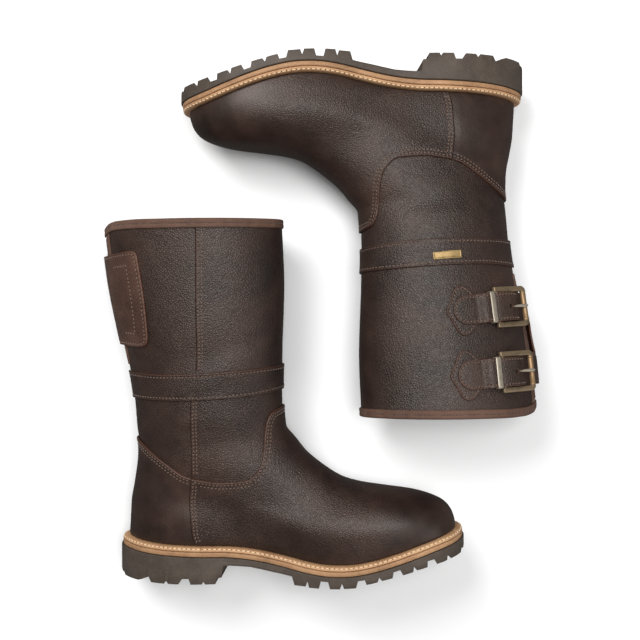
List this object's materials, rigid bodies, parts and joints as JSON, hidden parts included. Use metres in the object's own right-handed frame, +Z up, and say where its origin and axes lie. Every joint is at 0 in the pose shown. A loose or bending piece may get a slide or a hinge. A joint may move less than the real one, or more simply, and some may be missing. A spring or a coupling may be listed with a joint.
{
  "type": "riding boots",
  "caption": "Pair of brown leather pull-on riding boots with buckle straps at the back, an ankle band, tan welt and lugged rubber soles, lying on their sides.",
  "frame": {"origin": "centre of the pair's footprint, on the surface the boots lie on", "axes": "+Z up from that surface; +Y up the leg of the left boot; +X from heel to toe of the left boot; the right boot lies turned half a turn about +Z"},
  "size_m": [0.3725, 0.4419, 0.1124],
  "materials": {
    "rubber": "matte",
    "tan_leather": "satin",
    "steel": "satin",
    "board": "matte",
    "lining": "matte",
    "brown_leather": "satin",
    "dark_leather": "satin",
    "trim_leather": "satin",
    "plate_brass": "satin",
    "antique_brass": "satin",
    "pewter": "satin"
  },
  "bodies": {
    "right_boot": {"right_outsole": "rubber", "right_midsole": "tan_leather", "right_shank": "steel", "right_welt": "tan_leather", "right_insole_board": "board", "right_lining": "lining", "right_footbed": "lining", "right_shaft_main": "brown_leather", "right_shaft_rear_inner": "brown_leather", "right_vamp": "brown_leather", "right_heel_counter": "brown_leather", "right_toe_puff": "board", "right_heel_stiffener": "board", "right_rear_gusset": "dark_leather", "right_collar_binding": "trim_leather", "right_ankle_band": "brown_leather", "right_name_plate": "plate_brass", "right_lower_chape": "dark_leather", "right_upper_chape": "dark_leather", "right_strap_panel": "trim_leather"},
    "right_lower_buckle_frame": {"right_lower_buckle_frame": "antique_brass"},
    "right_lower_buckle_roller": {"right_lower_buckle_roller": "antique_brass"},
    "right_lower_buckle_prong": {"right_lower_buckle_prong": "antique_brass"},
    "right_lower_strap_keeper": {"right_lower_strap_keeper": "pewter"},
    "right_upper_buckle_frame": {"right_upper_buckle_frame": "antique_brass"},
    "right_upper_buckle_roller": {"right_upper_buckle_roller": "antique_brass"},
    "right_upper_buckle_prong": {"right_upper_buckle_prong": "antique_brass"},
    "right_upper_strap_keeper": {"right_upper_strap_keeper": "pewter"},
    "left_boot": {"left_outsole": "rubber", "left_midsole": "tan_leather", "left_shank": "steel", "left_welt": "tan_leather", "left_insole_board": "board", "left_lining": "lining", "left_footbed": "lining", "left_shaft_main": "brown_leather", "left_shaft_rear_inner": "brown_leather", "left_vamp": "brown_leather", "left_heel_counter": "brown_leather", "left_toe_puff": "board", "left_heel_stiffener": "board", "left_rear_gusset": "dark_leather", "left_collar_binding": "trim_leather", "left_ankle_band": "brown_leather", "left_name_plate": "plate_brass", "left_lower_chape": "dark_leather", "left_upper_chape": "dark_leather", "left_strap_panel": "trim_leather"},
    "left_lower_buckle_frame": {"left_lower_buckle_frame": "antique_brass"},
    "left_lower_buckle_roller": {"left_lower_buckle_roller": "antique_brass"},
    "left_lower_buckle_prong": {"left_lower_buckle_prong": "antique_brass"},
    "left_lower_strap_keeper": {"left_lower_strap_keeper": "pewter"},
    "left_upper_buckle_frame": {"left_upper_buckle_frame": "antique_brass"},
    "left_upper_buckle_roller": {"left_upper_buckle_roller": "antique_brass"},
    "left_upper_buckle_prong": {"left_upper_buckle_prong": "antique_brass"},
    "left_upper_strap_keeper": {"left_upper_strap_keeper": "pewter"}
  },
  "joints": [
    {"name": "right_lower_frame_swing", "type": "hinge", "parent": "right_boot", "child": "right_lower_buckle_frame", "pos_m": [0.14369, 0.00938, 0.08802], "axis": [0.1124, -0.9886, 0.0999], "range_deg": [0, 4]},
    {"name": "right_lower_roller_spin", "type": "hinge", "parent": "right_lower_buckle_frame", "child": "right_lower_buckle_roller", "pos_m": [0.16829, 0.01083, 0.07472], "axis": [0.1124, -0.9886, 0.0999], "continuous": true},
    {"name": "right_lower_prong_lift", "type": "hinge", "parent": "right_lower_buckle_frame", "child": "right_lower_buckle_prong", "pos_m": [0.14369, 0.00938, 0.08802], "axis": [0.1124, -0.9886, 0.0999], "range_deg": [0, 4]},
    {"name": "right_lower_keeper_slide", "type": "slide", "parent": "right_boot", "child": "right_lower_strap_keeper", "axis": [-0.8786, -0.0519, 0.4748], "range_m": [-0.0008, 0.0008]},
    {"name": "right_upper_frame_swing", "type": "hinge", "parent": "right_boot", "child": "right_upper_buckle_frame", "pos_m": [0.14743, -0.04347, 0.09352], "axis": [0.0848, -0.9933, 0.0788], "range_deg": [0, 4]},
    {"name": "right_upper_roller_spin", "type": "hinge", "parent": "right_upper_buckle_frame", "child": "right_upper_buckle_roller", "pos_m": [0.17269, -0.04227, 0.0815], "axis": [0.0848, -0.9933, 0.0788], "continuous": true},
    {"name": "right_upper_prong_lift", "type": "hinge", "parent": "right_upper_buckle_frame", "child": "right_upper_buckle_prong", "pos_m": [0.14743, -0.04347, 0.09352], "axis": [0.0848, -0.9933, 0.0788], "range_deg": [0, 4]},
    {"name": "right_upper_keeper_slide", "type": "slide", "parent": "right_boot", "child": "right_upper_strap_keeper", "axis": [-0.9021, -0.0429, 0.4293], "range_m": [-0.0008, 0.0008]},
    {"name": "left_lower_frame_swing", "type": "hinge", "parent": "left_boot", "child": "left_lower_buckle_frame", "pos_m": [-0.13683, -0.00383, 0.0085], "axis": [0.1047, -0.9945, 0.0003], "range_deg": [0, 4]},
    {"name": "left_lower_roller_spin", "type": "hinge", "parent": "left_lower_buckle_frame", "child": "left_lower_buckle_roller", "pos_m": [-0.16326, -0.00661, 0.01729], "axis": [0.1047, -0.9945, 0.0003], "continuous": true},
    {"name": "left_lower_prong_lift", "type": "hinge", "parent": "left_lower_buckle_frame", "child": "left_lower_buckle_prong", "pos_m": [-0.13683, -0.00383, 0.0085], "axis": [0.1047, -0.9945, 0.0003], "range_deg": [0, 4]},
    {"name": "left_lower_keeper_slide", "type": "slide", "parent": "left_boot", "child": "left_lower_strap_keeper", "axis": [0.9443, 0.0993, -0.3139], "range_m": [-0.0008, 0.0008]},
    {"name": "left_upper_frame_swing", "type": "hinge", "parent": "left_boot", "child": "left_upper_buckle_frame", "pos_m": [-0.14016, 0.04933, 0.0087], "axis": [0.081, -0.9964, -0.0254], "range_deg": [0, 4]},
    {"name": "left_upper_roller_spin", "type": "hinge", "parent": "left_upper_buckle_frame", "child": "left_upper_buckle_roller", "pos_m": [-0.16704, 0.04696, 0.01616], "axis": [0.081, -0.9964, -0.0254], "continuous": true},
    {"name": "left_upper_prong_lift", "type": "hinge", "parent": "left_upper_buckle_frame", "child": "left_upper_buckle_prong", "pos_m": [-0.14016, 0.04933, 0.0087], "axis": [0.081, -0.9964, -0.0254], "range_deg": [0, 4]},
    {"name": "left_upper_keeper_slide", "type": "slide", "parent": "left_boot", "child": "left_upper_strap_keeper", "axis": [0.9601, 0.0848, -0.2665], "range_m": [-0.0008, 0.0008]},
    {"name": "left_boot_lift", "type": "slide", "parent": "right_boot", "child": "left_boot", "axis": [0, 0, 1], "range_m": [0, 0.25]}
  ]
}
